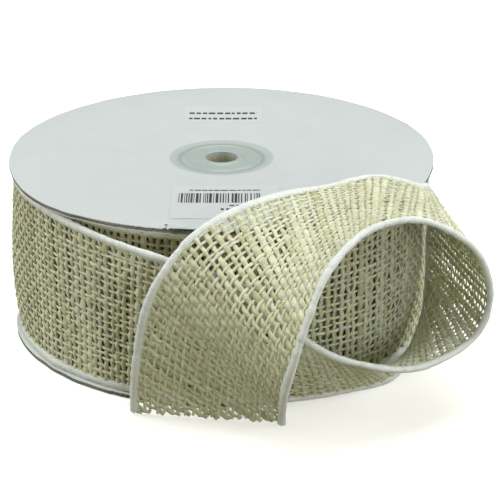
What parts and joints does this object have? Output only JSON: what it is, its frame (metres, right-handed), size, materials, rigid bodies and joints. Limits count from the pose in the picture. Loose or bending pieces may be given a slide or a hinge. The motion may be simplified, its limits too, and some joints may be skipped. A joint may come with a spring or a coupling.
{
  "type": "ribbon spool",
  "caption": "Flanged paper spool lying flat, wound with wide woven jute ribbon with white thread-bound edges; the loose end leans out, loops and comes down at the front.",
  "frame": {"origin": "middle of the spindle bore, halfway between the two flanges' outer faces", "axes": "+Z along the spool's axis, up as the spool lies flat on its bottom flange; -Y towards the side where the ribbon comes down in front; +X towards the side of the loop"},
  "size_m": [0.1748, 0.211, 0.0802],
  "materials": {
    "white_paper": "smooth matt",
    "grey_board": "matt",
    "kraft_board": "matt",
    "tape_paper": "matt",
    "hub_plastic": "satin",
    "label_paper": "semi-gloss",
    "jute_cloth": "coarse plain weave",
    "edge_thread": "wrapped thread",
    "edge_wire": "bright drawn wire"
  },
  "bodies": {
    "spool": {"bottom_flange_outer_paper": "white_paper", "bottom_flange_board": "grey_board", "bottom_flange_inner_paper": "white_paper", "top_flange_inner_paper": "white_paper", "top_flange_board": "grey_board", "top_flange_outer_paper": "white_paper", "core_tube": "kraft_board", "start_tape": "tape_paper", "spindle_sleeve": "kraft_board", "top_hub_cap": "hub_plastic", "bottom_hub_cap": "hub_plastic", "bar_label": "label_paper", "lot_label": "label_paper", "wound_roll": "jute_cloth", "second_turn": "jute_cloth", "second_turn_top_edge": "edge_thread", "second_turn_bottom_edge": "edge_thread"},
    "ribbon": {"outer_turn": "jute_cloth", "outer_turn_top_edge": "edge_thread", "outer_turn_bottom_edge": "edge_thread", "outer_turn_top_wire": "edge_wire", "outer_turn_bottom_wire": "edge_wire", "tail": "jute_cloth", "tail_near_edge": "edge_thread", "tail_far_edge": "edge_thread", "tail_near_wire": "edge_wire", "tail_far_wire": "edge_wire"}
  },
  "joints": [
    {"name": "spool_turn", "type": "hinge", "parent": "spool", "child": "ribbon", "pos_m": [0, 0, 0], "axis": [0, 0, 1], "continuous": true}
  ]
}
